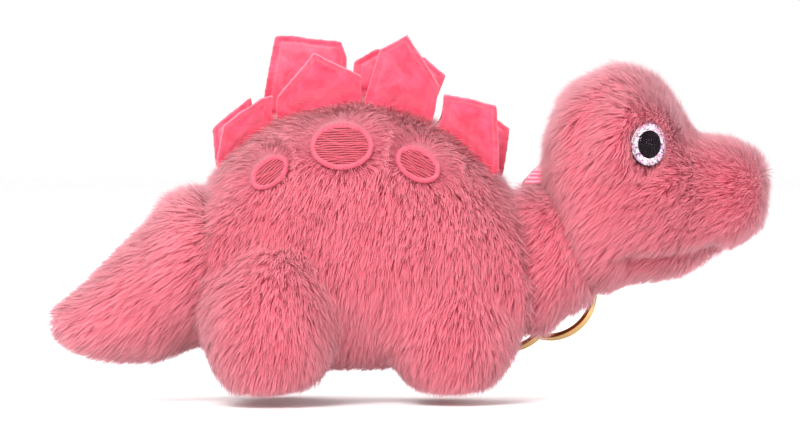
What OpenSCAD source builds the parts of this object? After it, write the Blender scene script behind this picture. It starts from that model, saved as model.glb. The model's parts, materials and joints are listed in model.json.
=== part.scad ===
// Plush stegosaurus bag charm: sewn pile skin over fibre stuffing, two rows of
// velour back plates, safety eyes, and a ribbon loop with two split rings.
// Millimetres. +X is forwards (head), +Y is the animal's left, +Z is up.
// The origin is on the ground, below the middle of the whole length.

/* [Torso] */
// Length of the torso between the tail seam and the neck seam
torso_length = 90; // [72:1:110]
// Height of the back above the ground
torso_height = 84; // [70:1:100]
// Width of the trunk, without the thighs
trunk_width = 56; // [50:1:68]
// Thickness of the skin: backing cloth and pile
skin = 3; // [2:0.5:3.5]
// Length of a foot along the body
foot_length = 33; // [28:1:36]
// Distance from the middle to the outside of the haunch
haunch_reach = 38; // [33:1:42]
// Distance from the middle to the outside of the shoulder
shoulder_reach = 26.5; // [24:0.5:28]

/* [Tail] */
// Distance from the torso to the tip of the tail
tail_reach = 43.5; // [36:0.5:52]
// Radius of the tail at its root
tail_root_r = 22; // [18:0.5:23]

/* [Neck and head] */
// Distance from the torso to the tip of the snout
head_reach = 66.8; // [60:0.1:78]
// Height of the head from the throat to the crown
head_height = 65; // [56:1:74]
// Width of the head across the cheeks
head_width = 50; // [42:1:58]
// Radius of the neck at its base
neck_r = 16; // [13.5:0.5:16.5]

/* [Eyes] */
// Diameter of an eye
eye_d = 12; // [9:0.5:13]
// Diameter of the pupil
pupil_d = 7.6; // [6:0.1:8]
// Height of the clear dome
dome_h = 3.4; // [2.5:0.1:4.5]
// Diameter of the shank that goes through the cloth
shank_d = 3.6; // [3:0.1:4.5]
// Angle of an eye's axis forwards of straight sideways
eye_yaw = 33; // [20:1:45]

/* [Back plates] */
// Height that a plate of full size stands above its seam
plate_height = 15.5; // [12:0.5:19]
// Thickness of one velour layer of a plate
velour = 0.9; // [0.6:0.1:1.2]
// Lean of a plate outwards from upright
plate_lean = 20; // [15:1:30]
// Distance between the seams of the two rows
row_gap = 10; // [9:0.5:14]

/* [Embroidery] */
// Thickness of the stitched pads
stitch = 0.7; // [0.4:0.1:1]

/* [Ribbon and rings] */
// Width of the ribbon
ribbon_w = 5; // [4:0.5:6]
// Thickness of the ribbon
ribbon_t = 0.7; // [0.4:0.1:1]
// Outer diameter of a split ring
ring_d = 25; // [20:1:28]
// Radial thickness of a ring's wire
ring_wall = 1.5; // [1:0.1:2]
// Height of one of a ring's two coils
coil_h = 1.5; // [1:0.1:1.8]

/* [Fits] */
// Clearance between parts that move against each other
free_gap = 0.5; // [0.4:0.1:1]
// Gap between pieces that are sewn or pressed together
seam_gap = 0.1; // [0.05:0.05:0.2]

/* [Hidden] */

RIGHT = -1;
LEFT = 1;
PLUSH = "#e8708a";
VELOUR = "#e84468";
FILL = "#f5f2ec";
THREAD = "#c03050";
GOLD = "#b89a68";

// Places along the body
overall = tail_reach + torso_length + head_reach;
rear_x = tail_reach - overall / 2;
front_x = rear_x + torso_length;
// Stations along the torso
TORSO_STEPS = 26;
// How sharply a section's corners turn: 2 is an ellipse
ROUND_SECTION = 2;
FULL_SECTION = 2.2;

// ---- Curves and lofts ----

function mix(a, b, t) = a + (b - a) * t;
function cubic(p0, p1, p2, p3, t) =
    0.5 * (2 * p1 + (p2 - p0) * t + (2 * p0 - 5 * p1 + 4 * p2 - p3) * pow(t, 2)
           + (3 * p1 - p0 - 3 * p2 + p3) * pow(t, 3));
// A smooth value at u, from 0 to 1, along a list of evenly spaced ones
function along(list, u) =
    let (last = len(list) - 1, s = min(max(u, 0), 1) * last, i = min(floor(s), last - 1))
    cubic(list[max(i - 1, 0)], list[i], list[i + 1], list[min(i + 2, last)], s - i);

// How far a section with half-width w and half-height h reaches at an angle
function reach(w, h, a, power) =
    pow(pow(abs(cos(a)) / w, power) + pow(abs(sin(a)) / h, power), -1 / power);

// The faces of a stack of closed rings of n points each, closed at both ends.
// Strips: a ring is an outer arc and the inner arc back, so its cap is a strip
// and both arcs are split along the same diagonals.
function wall_faces(rings, n, strips) = [
    for (k = [0:rings - 2], i = [0:n - 1])
        let (a = k * n + i, b = k * n + (i + 1) % n, c = b + n, d = a + n)
        each strips && i >= n / 2 ? [[a, b, d], [b, c, d]] : [[a, b, c], [a, c, d]]
];
function strip_cap(base, n, flip) = [
    for (i = [0:n / 2 - 2])
        let (a = base + i, b = base + i + 1, c = base + n - 2 - i, d = base + n - 1 - i)
        each flip ? [[a, b, c], [a, c, d]] : [[c, b, a], [d, c, a]]
];
function disc_cap(base, n, flip) = [
    [for (i = [0:n - 1]) flip ? base + i : base + n - 1 - i]
];

// Solids from stacks of rings. The flag turns the faces of a mirrored stack.
module loft(stack, strips, mirrored) {
    n = len(stack[0]);
    top = (len(stack) - 1) * n;
    caps = strips
        ? concat(strip_cap(0, n, false), strip_cap(top, n, true))
        : concat(disc_cap(0, n, false), disc_cap(top, n, true));
    faces = concat(wall_faces(len(stack), n, strips), caps);
    polyhedron(
        [for (ring = stack) each ring],
        [for (f = faces) mirrored ? [for (i = [len(f) - 1:-1:0]) f[i]] : f],
        convexity = 6);
}

// ---- Torso ----

// Back line and belly line as shares of the height, and half-width as a share
// of the trunk's, at even stations from the tail seam to the neck seam
BACK_LINE = [0.69, 0.825, 0.925, 0.98, 1.0, 0.99, 0.95, 0.87, 0.755, 0.615];
BELLY_LINE = [0.19, 0.14, 0.12, 0.11, 0.11, 0.11, 0.11, 0.12, 0.15, 0.21];
TRUNK_LINE = [0.92, 0.97, 1.0, 1.0, 1.0, 0.99, 0.95, 0.88, 0.8, 0.7];
GUSSET_ANGLE = 38;

function torso_u(x) = (x - rear_x) / torso_length;
function back_z(x) = torso_height * along(BACK_LINE, torso_u(x));
function belly_z(x) = torso_height * along(BELLY_LINE, torso_u(x));
function torso_mid_z(x) = (back_z(x) + belly_z(x)) / 2;
function trunk_half(x) = trunk_width / 2 * along(TRUNK_LINE, torso_u(x));

// A leg is an ellipsoid: middle x, y, z, then its radii. Its sole is a little
// below the ground, where the ground cuts it flat.
SOLE_SINK = 0.7;
rear_leg = [rear_x + 0.218 * torso_length, haunch_reach - foot_length / 2, 0.27 * torso_height,
            foot_length / 2, foot_length / 2, 0.27 * torso_height + SOLE_SINK];
front_leg = [rear_x + 0.768 * torso_length, shoulder_reach - 0.39 * foot_length, 0.235 * torso_height,
             foot_length / 2, 0.39 * foot_length, 0.235 * torso_height + SOLE_SINK];

// How far a leg reaches from the torso's axis at station x and angle a
function leg_reach(leg, x, a) =
    let (q = 1 - pow((x - leg[0]) / leg[3], 2),
         y0 = leg[1],
         z0 = leg[2] - torso_mid_z(x),
         c = abs(cos(a)),
         s = sin(a),
         qa = pow(c / leg[4], 2) + pow(s / leg[5], 2),
         qb = -2 * (c * y0 / pow(leg[4], 2) + s * z0 / pow(leg[5], 2)),
         qc = pow(y0 / leg[4], 2) + pow(z0 / leg[5], 2) - q,
         d = pow(qb, 2) - 4 * qa * qc)
    q <= 0 || d < 0 ? 0 : (sqrt(d) - qb) / (2 * qa);

// The larger of two, with a rounded change-over
BLEND = 4;
function soft_max(a, b) = max(a, b) + pow(max(BLEND - abs(a - b), 0), 2) / (4 * BLEND);

// The torso's reach: trunk and legs together, cut flat at the ground
function torso_reach(x, a) =
    let (h = (back_z(x) - belly_z(x)) / 2,
         trunk = reach(trunk_half(x), h, a, FULL_SECTION),
         whole = soft_max(soft_max(trunk, leg_reach(rear_leg, x, a)), leg_reach(front_leg, x, a)))
    sin(a) < 0 ? min(whole, torso_mid_z(x) / -sin(a)) : whole;

function torso_point(side, x, a, inset, shift = 0) =
    let (r = torso_reach(x, a) - inset)
    [x, side * (r * cos(a) + shift), torso_mid_z(x) + r * sin(a)];

TORSO_STATIONS = [for (k = [0:TORSO_STEPS]) rear_x + torso_length * k / TORSO_STEPS];
// A gap along the gusset's seams, as an angle at a foot's distance
gusset_gap = seam_gap / haunch_reach * 180 / PI;

function arc(from, to, steps) = [for (i = [0:steps]) mix(from, to, i / steps)];
function backwards(list) = [for (i = [len(list) - 1:-1:0]) list[i]];

// One flank's angles, from its gusset seam to the spine, and all the way round
FLANK = arc(GUSSET_ANGLE + gusset_gap - 90, 90, 18);
SOLE = arc(-90 - GUSSET_ANGLE, GUSSET_ANGLE - 90, 12);
ROUND = concat(SOLE, FLANK, [for (i = [17:-1:0]) 180 - FLANK[i]]);

module torso_panel(side) {
    angles = side == LEFT ? FLANK : backwards(FLANK);
    back = backwards(angles);
    color(PLUSH)
        difference() {
            loft(
                [for (x = TORSO_STATIONS)
                    concat(
                        [for (a = angles) torso_point(side, x, a, 0, seam_gap / 2)],
                        [for (a = back) torso_point(side, x, a, skin, seam_gap / 2)])],
                strips = true, mirrored = true);
            neck_socket();
            tail_socket();
        }
}

module belly_gusset() {
    back = backwards(SOLE);
    color(PLUSH)
        difference() {
            loft(
                [for (x = TORSO_STATIONS)
                    concat(
                        [for (a = SOLE) torso_point(LEFT, x, a, 0)],
                        [for (a = back) torso_point(LEFT, x, a, skin)])],
                strips = true, mirrored = true);
            neck_socket();
            tail_socket();
        }
}

module torso_stuffing() {
    color(FILL)
        difference() {
            loft(
                [for (x = TORSO_STATIONS)
                    [for (a = ROUND) torso_point(LEFT, x, a, skin + free_gap)]],
                strips = false, mirrored = true);
            neck_socket();
            tail_socket();
        }
}

// ---- Tail and neck: balls that turn in round sockets in the torso ----

tail_pivot = [rear_x, 0, 0.45 * torso_height];
neck_pivot = [front_x + 0.2 * neck_r, 0, 0.435 * torso_height];
BALL_FROM = 10;

module tail_socket() {
    translate(tail_pivot)
        sphere(r = tail_root_r + free_gap, $fn = 96);
}

module neck_socket() {
    translate(neck_pivot)
        sphere(r = neck_r + free_gap, $fn = 96);
}

// A station is the lowest and highest point of a ring, as x and z, the ring's
// half-width and how full its section is
function ring_point(st, side, a, inset, shift = 0) =
    let (low = [st[0], st[1]],
         high = [st[2], st[3]],
         h = norm(high - low) / 2,
         up = (high - low) / (2 * h),
         mid = (low + high) / 2,
         r = max(reach(st[4], h, a, st[5]) - inset, 0.3))
    [mid[0] + up[0] * r * sin(a), side * (r * cos(a) + shift), mid[1] + up[1] * r * sin(a)];

function half_ring(st, side, from, to, steps) = concat(
    [for (a = arc(from, to, steps)) ring_point(st, side, a, 0, seam_gap / 2)],
    [for (a = arc(to, from, steps)) ring_point(st, side, a, skin, seam_gap / 2)]);

function full_ring(st, inset, sides) = [
    for (i = [0:sides - 1]) ring_point(st, LEFT, i * 360 / sides, inset)
];

// Tail: the ball's rear half is the first stations of the cone
TAIL_TOP = [0.775, 0.62, 0.49, 0.37, 0.288];
TAIL_BOTTOM = [0.155, 0.135, 0.135, 0.165, 0.288];
TAIL_HALF = [1.0, 0.86, 0.68, 0.46, 0.02];
tail_tip_x = -overall / 2;
function ball_station(pivot, r, sign, b) = [
    pivot[0] + sign * r * cos(b), pivot[2] - r * sin(b),
    pivot[0] + sign * r * cos(b), pivot[2] + r * sin(b), r * sin(b), ROUND_SECTION
];
function tail_station(u) =
    let (x = mix(rear_x, tail_tip_x, u),
         w = tail_root_r * along(TAIL_HALF, u),
         root = [tail_pivot[2] - tail_root_r, tail_pivot[2] + tail_root_r],
         flare = min(max(5 * u - 0.2, 0), 1),
         low = mix(root[0], torso_height * along(TAIL_BOTTOM, u), flare),
         high = mix(root[1], torso_height * along(TAIL_TOP, u), flare))
    [x, min(low, high - 1), x, high, w, ROUND_SECTION];
TAIL = concat(
    [for (b = [BALL_FROM:16:90]) ball_station(tail_pivot, tail_root_r, 1, b)],
    [for (u = [0.04:0.12:0.88]) tail_station(u)],
    [tail_station(0.95), tail_station(0.99)]);

module tail_panel(side) {
    color(PLUSH)
        loft([for (st = TAIL) half_ring(st, side, 90, -90, 12)],
             strips = true, mirrored = side == LEFT);
}

module tail_stuffing() {
    color(FILL)
        loft([for (k = [1:len(TAIL) - 3]) full_ring(TAIL[k], skin + free_gap, 24)],
             strips = false, mirrored = false);
}

// Head: fan of stations from the neck seam round to the snout. Low and high
// point as shares of the head's length and height, and half-width as a share
HEAD_FAN = [
    [0.25, 0.00, 0.01, 0.475, 0.70],
    [0.30, 0.01, 0.00, 0.64, 0.80],
    [0.345, 0.025, 0.03, 0.84, 0.93],
    [0.40, 0.035, 0.15, 0.965, 0.99],
    [0.46, 0.045, 0.33, 0.995, 1.00],
    [0.53, 0.06, 0.475, 0.93, 0.97],
    [0.61, 0.085, 0.58, 0.81, 0.88],
    [0.69, 0.12, 0.68, 0.735, 0.80],
    [0.77, 0.155, 0.79, 0.705, 0.75],
    [0.85, 0.20, 0.89, 0.66, 0.67],
    [0.93, 0.265, 0.955, 0.60, 0.54],
    [0.985, 0.36, 0.995, 0.50, 0.30]
];
nape_x = front_x + 4.3;
throat_z = 0.35 * torso_height;
head_length = front_x + head_reach - nape_x;
function head_station(u) =
    let (s = along(HEAD_FAN, u))
    [nape_x + s[0] * head_length, throat_z + s[1] * head_height,
     nape_x + s[2] * head_length, throat_z + s[3] * head_height, s[4] * head_width / 2, FULL_SECTION];
CHIN_ANGLE = 45;
HEAD_STEPS = 22;
HEAD = [for (k = [0:HEAD_STEPS]) head_station(k / HEAD_STEPS)];
// A gap along the chin's seams, as an angle at a cheek's distance
chin_gap = seam_gap / head_width * 360 / PI;

module head_panel(side) {
    low = CHIN_ANGLE + chin_gap - 90;
    color(PLUSH)
        difference() {
            loft([for (st = HEAD) half_ring(st, side, 90, low, 12)],
                 strips = true, mirrored = side == RIGHT);
            eye_axis(side) {
                eye_pocket();
                shank_hole();
            }
        }
}

module chin_gusset() {
    angles = arc(-90 - CHIN_ANGLE, CHIN_ANGLE - 90, 10);
    back = arc(CHIN_ANGLE - 90, -90 - CHIN_ANGLE, 10);
    color(PLUSH)
        loft([for (st = HEAD)
                concat(
                    [for (a = angles) ring_point(st, LEFT, a, 0)],
                    [for (a = back) ring_point(st, LEFT, a, skin)])],
             strips = true, mirrored = true);
}

module head_stuffing() {
    color(FILL)
        difference() {
            loft([for (k = [0:HEAD_STEPS - 2]) full_ring(HEAD[k], skin + free_gap, 24)],
                 strips = false, mirrored = true);
            for (side = [RIGHT, LEFT])
                eye_axis(side) washer_pocket();
        }
}

// Neck: from its ball to the head's first station, with a gap for the seam
function neck_station(u) =
    let (from = ball_station(neck_pivot, neck_r, -1, 90),
         seam = HEAD[0],
         out = [seam[1] - seam[3], seam[2] - seam[0]] / norm([seam[1] - seam[3], seam[2] - seam[0]]),
         to = [seam[0] + out[0] * seam_gap, seam[1] + out[1] * seam_gap,
               seam[2] + out[0] * seam_gap, seam[3] + out[1] * seam_gap, seam[4], seam[5]])
    mix(from, to, u);
NECK = concat(
    [for (b = [BALL_FROM:16:90]) ball_station(neck_pivot, neck_r, -1, b)],
    [for (u = [0.1:0.15:1]) neck_station(u)]);

module neck_panel(side) {
    color(PLUSH)
        loft([for (st = NECK) half_ring(st, side, 90, -90, 12)],
             strips = true, mirrored = side == RIGHT);
}

module neck_stuffing() {
    color(FILL)
        loft([for (k = [1:len(NECK) - 1]) full_ring(NECK[k], skin + free_gap, 24)],
             strips = false, mirrored = true);
}

// ---- Eyes ----

EYE_U = 0.425;
EYE_ANGLE = 21;
POCKET_DEEP = 2;
BACK_T = 0.8;
DISC_T = 0.4;
SHANK_LONG = 9;
WASHER_T = 1.2;
WASHER_D = 10;
WASHER_BACK = 6.7;
RUNNING = 0.05;

// Places its children with the eye's middle on the cheek and its axis outwards
module eye_axis(side) {
    at = ring_point(head_station(EYE_U), side, EYE_ANGLE, 0, seam_gap / 2);
    translate(at)
        rotate([90 * -side, 0, -side * eye_yaw])
            children();
}

module eye_pocket() {
    translate([0, 0, -POCKET_DEEP])
        cylinder(d = eye_d + 2 * seam_gap, h = 12, $fn = 64);
}

module shank_hole() {
    translate([0, 0, -12])
        cylinder(d = shank_d + 2 * RUNNING, h = 12, $fn = 48);
}

module washer_pocket() {
    translate([0, 0, -SHANK_LONG - POCKET_DEEP - 1])
        cylinder(d = WASHER_D + 1, h = SHANK_LONG + 2, $fn = 48);
    translate([0, 0, -POCKET_DEEP - free_gap])
        cylinder(d = eye_d + 2 * free_gap, h = 12, $fn = 48);
}

module eye_shank(side) {
    color("#20101a")
        eye_axis(side) {
            translate([0, 0, seam_gap - POCKET_DEEP])
                cylinder(d = eye_d, h = BACK_T, $fn = 64);
            translate([0, 0, -POCKET_DEEP - SHANK_LONG + seam_gap])
                cylinder(d = shank_d, h = SHANK_LONG + BACK_T / 2, $fn = 48);
        }
}

module eye_iris(side) {
    color("#d8b8d8")
        eye_axis(side)
            translate([0, 0, BACK_T + seam_gap - POCKET_DEEP])
                difference() {
                    cylinder(d = eye_d - 0.6, h = DISC_T, $fn = 64);
                    translate([0, 0, -1])
                        cylinder(d = pupil_d + 0.1, h = DISC_T + 2, $fn = 64);
                }
}

module eye_pupil(side) {
    color("#20101a")
        eye_axis(side)
            translate([0, 0, BACK_T + seam_gap - POCKET_DEEP])
                cylinder(d = pupil_d, h = DISC_T, $fn = 64);
}

// A cap of a sphere whose rim is the eye's edge
module eye_dome(side) {
    base = BACK_T + DISC_T + seam_gap - POCKET_DEEP;
    r = (pow(eye_d / 2, 2) + pow(dome_h, 2)) / (2 * dome_h);
    color("#f4e8f4", 0.4)
        eye_axis(side)
            translate([0, 0, base])
                intersection() {
                    translate([0, 0, dome_h - r])
                        sphere(r = r, $fn = 96);
                    cylinder(d = eye_d + 1, h = dome_h + 1, $fn = 64);
                }
}

module eye_washer(side) {
    color("#f8f8f8")
        eye_axis(side)
            translate([0, 0, -WASHER_BACK - WASHER_T])
                difference() {
                    cylinder(d = WASHER_D, h = WASHER_T, $fn = 64);
                    translate([0, 0, -1])
                        cylinder(d = shank_d + 2 * RUNNING, h = WASHER_T + 2, $fn = 48);
                }
}

// ---- Embroidered spots ----

// Middle along the torso and above the ground as shares, then half-length,
// half-height and slope
REAR_SPOT = [0.213, 0.765, 5.3, 3.4, 38];
MIDDLE_SPOT = [0.435, 0.85, 8.1, 6.0, 0];
FRONT_SPOT = [0.67, 0.79, 6.0, 4.0, -30];

// The angle at which the flank of station x is at height z
function flank_angle(x, z, low = 0, high = 88, tries = 20) =
    let (a = (low + high) / 2,
         over = torso_mid_z(x) + torso_reach(x, a) * sin(a) > z)
    tries == 0 ? a : over ? flank_angle(x, z, low, a, tries - 1) : flank_angle(x, z, a, high, tries - 1);

SPOT_SIDES = 20;
SPOT_RINGS = [0.02, 0.5, 1];
function spot_point(spot, side, share, i, lift) =
    let (t = i * 360 / SPOT_SIDES,
         u = share * spot[2] * cos(t),
         v = share * spot[3] * sin(t),
         x = rear_x + spot[0] * torso_length + u * cos(spot[4]) - v * sin(spot[4]),
         z = spot[1] * torso_height + u * sin(spot[4]) + v * cos(spot[4]))
    torso_point(side, x, flank_angle(x, z), -lift);

// A pad of thread that follows the flank, a seam's gap above the skin
module spot(shape, side) {
    under = 2 * seam_gap;
    color(THREAD)
        loft(concat(
                [for (s = SPOT_RINGS) [for (i = [0:SPOT_SIDES - 1]) spot_point(shape, side, s, i, under)]],
                [for (k = [2:-1:0])
                    [for (i = [0:SPOT_SIDES - 1]) spot_point(shape, side, SPOT_RINGS[k], i, under + stitch)]]),
             strips = false, mirrored = side == RIGHT);
}

// ---- Back plates ----

// A plate: where its seam starts and ends along the torso, then its outline
// above the seam as shares of the seam's length and of the plate's height
RIGHT_PLATES = [
    [[0.052, 0.216], [[0.53, 0.58], [1.14, 0.44], [1.27, 0.32]]],
    [[0.234, 0.492], [[0.06, 0.35], [0.6, 1.04], [1.07, 0.37]]],
    [[0.505, 0.712], [[-0.02, 0.96], [0.27, 1.38], [0.54, 1.1], [0.92, 0.65]]],
    [[0.734, 0.909], [[-0.24, 0.48], [0.06, 0.78], [0.35, 0.99], [0.69, 0.51]]]
];
LEFT_PLATES = [
    [[0.052, 0.167], [[0.5, 0.66], [0.7, 0.68], [1.42, 0.52]]],
    [[0.187, 0.445], [[0.18, 0.64], [0.48, 1.56], [0.57, 1.54], [1.16, 1.02], [1.16, 0.7]]],
    [[0.461, 0.701], [[-0.08, 0.65], [0.15, 1.01], [0.74, 1.11], [1.06, 0.88], [1.01, 0.53]]],
    [[0.729, 0.918], [[-0.16, 0.48], [0.12, 0.79], [0.65, 0.88], [0.83, 0.45]]]
];
SEAM_LIFT = 0.3;
SEAM_STEPS = 5;

// The plate's lower edge, from its front end to its rear: it keeps one
// distance from the back line, which bulges above the straight seam
function seam_edge(x0, x1, slope) = [
    for (k = [SEAM_STEPS:-1:0])
        let (dx = (x1 - x0) * k / SEAM_STEPS,
             dz = back_z(x0 + dx) - back_z(x0))
        [dx * cos(slope) + dz * sin(slope),
         (dz * cos(slope) - dx * sin(slope) + free_gap) / cos(plate_lean)]
];

// A layer of a plate: a flat prism from the seam, on one side of the middle
module plate(side, data, outer) {
    x0 = rear_x + data[0][0] * torso_length;
    x1 = rear_x + data[0][1] * torso_length;
    z0 = back_z(x0) + SEAM_LIFT;
    z1 = back_z(x1) + SEAM_LIFT;
    length = norm([x1 - x0, z1 - z0]);
    slope = atan2(z1 - z0, x1 - x0);
    outline = concat(
        [for (p = data[1]) [p[0] * length, p[1] * plate_height]],
        seam_edge(x0, x1, slope));
    face = (outer ? 1 : -1) * side;
    color(VELOUR)
        translate([x0, side * row_gap / 2, z0])
            rotate([0, -slope, 0])
                rotate([-side * plate_lean, 0, 0])
                    translate([0, face * (velour + seam_gap) / 2, 0])
                        rotate([90, 0, 0])
                            linear_extrude(velour, center = true)
                                polygon(outline);
}

// ---- Ribbon and split rings ----

// The ribbon starts at the nape. The rings hang in its lower bend, and their
// middles are set from there as shares of a ring's diameter.
ribbon_x = nape_x - ribbon_w - free_gap;
ribbon_root = [0, throat_z + 0.475 * head_height];
ring_hang = [ribbon_x + ribbon_w / 2, 33.5, ribbon_root[1] - 25.5];
RING_TILT = 22;
RING_YAW = 19;
ring_rear_at = ring_hang + ring_d * [-0.208, -0.172, -0.41];
ring_front_at = ring_hang + ring_d * [0.276, -0.108, -0.289];

module split_ring(at) {
    color(GOLD)
        translate(at)
            rotate([90 - RING_TILT, 0, -RING_YAW])
                rotate_extrude($fn = 96)
                    difference() {
                        translate([ring_d / 2 - ring_wall, -coil_h])
                            square([ring_wall, 2 * coil_h]);
                        for (s = [0, 1])
                            translate([ring_d / 2 - ring_wall * s, 0])
                                rotate(45)
                                    square(0.35, center = true);
                    }
}

// The ribbon's run across the body, as y and z: its two layers go up from the
// nape, over to the animal's left, and down round the rings
RIBBON_RUN = [
    [0, 0], [0, 1.6], [2, 2.6], [6.4, 1.8], [12, -1.6], [17, -6.6], [22, -13],
    [25.4, -19], [26.2, -25], [27.2, -30], [29.4, -33.4], [33, -34.6], [36.8, -33.6], [38.8, -30],
    [39.1, -24.6], [38.2, -19.8], [34.4, -15.6], [28, -12.4],
    [19, -5.2], [13.6, 0], [7.4, 3.6], [2.4, 4.4], [-1.2, 3.2], [-2, 0]
];

module ribbon_loop() {
    path = [for (p = RIBBON_RUN) ribbon_root + p];
    last = len(path) - 1;
    edge = function (i, s)
        let (d = path[min(i + 1, last)] - path[max(i - 1, 0)])
        path[i] + s * ribbon_t / 2 * [-d[1], d[0]] / norm(d);
    color("#f07a92")
        translate([ribbon_x, 0, 0])
            rotate([90, 0, 90])
                linear_extrude(ribbon_w)
                    polygon(concat(
                        [for (i = [0:last]) edge(i, 1)],
                        [for (i = [last:-1:0]) edge(i, -1)]));
}

torso_panel(RIGHT);  // torso_panel_right
torso_panel(LEFT);  // torso_panel_left
belly_gusset();
torso_stuffing();
tail_panel(RIGHT);  // tail_panel_right
tail_panel(LEFT);  // tail_panel_left
tail_stuffing();
neck_panel(RIGHT);  // neck_panel_right
neck_panel(LEFT);  // neck_panel_left
neck_stuffing();
head_panel(RIGHT);  // head_panel_right
head_panel(LEFT);  // head_panel_left
chin_gusset();
head_stuffing();
eye_dome(RIGHT);  // eye_dome_right
eye_dome(LEFT);  // eye_dome_left
eye_pupil(RIGHT);  // eye_pupil_right
eye_pupil(LEFT);  // eye_pupil_left
eye_iris(RIGHT);  // eye_iris_right
eye_iris(LEFT);  // eye_iris_left
eye_shank(RIGHT);  // eye_shank_right
eye_shank(LEFT);  // eye_shank_left
eye_washer(RIGHT);  // eye_washer_right
eye_washer(LEFT);  // eye_washer_left
spot(REAR_SPOT, RIGHT);  // spot_rear_right
spot(MIDDLE_SPOT, RIGHT);  // spot_middle_right
spot(FRONT_SPOT, RIGHT);  // spot_front_right
spot(REAR_SPOT, LEFT);  // spot_rear_left
spot(MIDDLE_SPOT, LEFT);  // spot_middle_left
spot(FRONT_SPOT, LEFT);  // spot_front_left
plate(RIGHT, RIGHT_PLATES[0], true);  // plate_right_1_outer
plate(RIGHT, RIGHT_PLATES[1], true);  // plate_right_2_outer
plate(RIGHT, RIGHT_PLATES[2], true);  // plate_right_3_outer
plate(RIGHT, RIGHT_PLATES[3], true);  // plate_right_4_outer
plate(RIGHT, RIGHT_PLATES[0], false);  // plate_right_1_inner
plate(RIGHT, RIGHT_PLATES[1], false);  // plate_right_2_inner
plate(RIGHT, RIGHT_PLATES[2], false);  // plate_right_3_inner
plate(RIGHT, RIGHT_PLATES[3], false);  // plate_right_4_inner
plate(LEFT, LEFT_PLATES[0], true);  // plate_left_1_outer
plate(LEFT, LEFT_PLATES[1], true);  // plate_left_2_outer
plate(LEFT, LEFT_PLATES[2], true);  // plate_left_3_outer
plate(LEFT, LEFT_PLATES[3], true);  // plate_left_4_outer
plate(LEFT, LEFT_PLATES[0], false);  // plate_left_1_inner
plate(LEFT, LEFT_PLATES[1], false);  // plate_left_2_inner
plate(LEFT, LEFT_PLATES[2], false);  // plate_left_3_inner
plate(LEFT, LEFT_PLATES[3], false);  // plate_left_4_inner
ribbon_loop();
split_ring(ring_front_at);  // split_ring_front
split_ring(ring_rear_at);  // split_ring_rear
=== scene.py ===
"""Looks of a plush stegosaurus bag charm: pile skins, velour plates, embroidery, eyes, ribbon and rings."""

import json
import logging
import math
from dataclasses import dataclass
from enum import Enum
from typing import Any, Callable, Optional, Sequence

import bmesh
import bpy
import numpy as np
from mathutils import Matrix, Vector, noise
from mathutils.bvhtree import BVHTree
from mathutils.kdtree import KDTree


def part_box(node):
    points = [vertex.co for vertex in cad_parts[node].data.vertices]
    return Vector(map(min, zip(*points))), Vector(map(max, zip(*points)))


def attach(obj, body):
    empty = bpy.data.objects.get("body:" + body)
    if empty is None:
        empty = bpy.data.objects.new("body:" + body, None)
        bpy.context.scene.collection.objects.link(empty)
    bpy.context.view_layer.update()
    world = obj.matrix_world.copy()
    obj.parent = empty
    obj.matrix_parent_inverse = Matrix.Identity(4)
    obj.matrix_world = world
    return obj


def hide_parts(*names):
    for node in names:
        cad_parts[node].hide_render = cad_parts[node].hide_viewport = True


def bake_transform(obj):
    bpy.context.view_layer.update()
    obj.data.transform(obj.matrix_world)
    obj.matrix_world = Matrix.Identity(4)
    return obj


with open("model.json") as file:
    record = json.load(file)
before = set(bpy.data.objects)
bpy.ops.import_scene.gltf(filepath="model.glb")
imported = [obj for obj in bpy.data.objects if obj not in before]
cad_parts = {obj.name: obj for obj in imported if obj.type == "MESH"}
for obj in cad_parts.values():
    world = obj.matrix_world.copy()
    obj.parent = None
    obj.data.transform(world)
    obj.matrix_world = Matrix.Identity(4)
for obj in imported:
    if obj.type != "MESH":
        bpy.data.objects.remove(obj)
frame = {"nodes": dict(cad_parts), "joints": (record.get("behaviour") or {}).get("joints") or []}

LOG = logging.getLogger("charm")
MM = 0.001
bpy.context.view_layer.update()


class Side(Enum):
    """The animal's two sides, by the sign of Y."""

    RIGHT = -1
    LEFT = 1

    @property
    def word(self) -> str:
        """The side's name in node names."""
        return self.name.lower()


# ---- Materials ----


def linear(code: str) -> tuple[float, float, float, float]:
    """Turns an sRGB hex colour linear.

    Args:
        code: a colour such as "#e8708a".

    Returns:
        Red, green, blue and an alpha of 1.
    """
    parts = [int(code[i:i + 2], 16) / 255 for i in (1, 3, 5)]
    r, g, b = [p / 12.92 if p <= 0.04045 else ((p + 0.055) / 1.055) ** 2.4 for p in parts]
    return r, g, b, 1.0


def add_node(tree: bpy.types.NodeTree, kind: str, inputs: Optional[dict[Any, Any]] = None,
             **settings: Any) -> bpy.types.Node:
    """Adds a node to a tree, with its settings, values and links.

    Args:
        tree: the node tree.
        kind: the node's type name.
        inputs: socket name or number to a value, or to a socket that links to it.
        settings: the node's own properties.

    Returns:
        The new node.
    """
    made = tree.nodes.new(kind)
    for key, value in settings.items():
        setattr(made, key, value)
    for key, value in (inputs or {}).items():
        if isinstance(value, bpy.types.NodeSocket):
            tree.links.new(value, made.inputs[key])
        else:
            made.inputs[key].default_value = value
    return made


def add_ramp(tree: bpy.types.NodeTree, fac: bpy.types.NodeSocket,
             stops: Sequence[tuple[float, str]]) -> bpy.types.NodeSocket:
    """Adds a colour ramp.

    Args:
        tree: the node tree.
        fac: the socket that drives it.
        stops: place and hex colour of each stop, in order.

    Returns:
        The ramp's colour socket.
    """
    ramp = add_node(tree, "ShaderNodeValToRGB", {0: fac})
    elements = ramp.color_ramp.elements
    while len(elements) < len(stops):
        elements.new(0.5)
    for element, (place, code) in zip(elements, stops):
        element.position = place
        element.color = linear(code)
    return ramp.outputs["Color"]


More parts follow.
